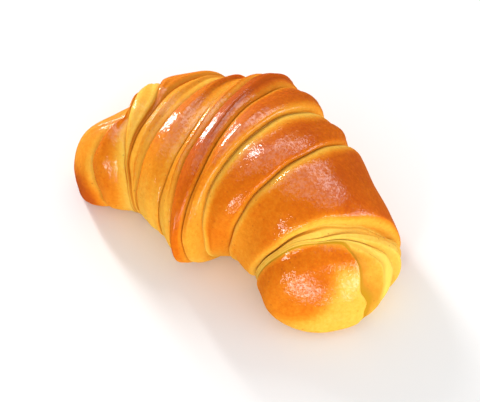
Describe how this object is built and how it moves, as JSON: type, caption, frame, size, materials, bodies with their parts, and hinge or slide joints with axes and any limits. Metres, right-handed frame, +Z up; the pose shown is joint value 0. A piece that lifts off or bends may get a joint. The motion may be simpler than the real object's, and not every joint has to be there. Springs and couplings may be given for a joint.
{
  "type": "brioche croissant",
  "caption": "Rolled brioche croissant, a plump crescent of overlapping dough wraps with a glossy egg-washed golden-brown crust, flat underneath.",
  "frame": {"origin": "on the table, under the middle of the croissant's bounding box", "axes": "+X from the left horn to the right horn, +Y to the outer (convex) side of the crescent, +Z up"},
  "size_m": [0.1398, 0.0934, 0.0556],
  "materials": {
    "baked_crust": "glossy egg-washed golden-brown bread crust"
  },
  "bodies": {
    "root": {"brioche_croissant": "baked_crust"}
  },
  "joints": []
}
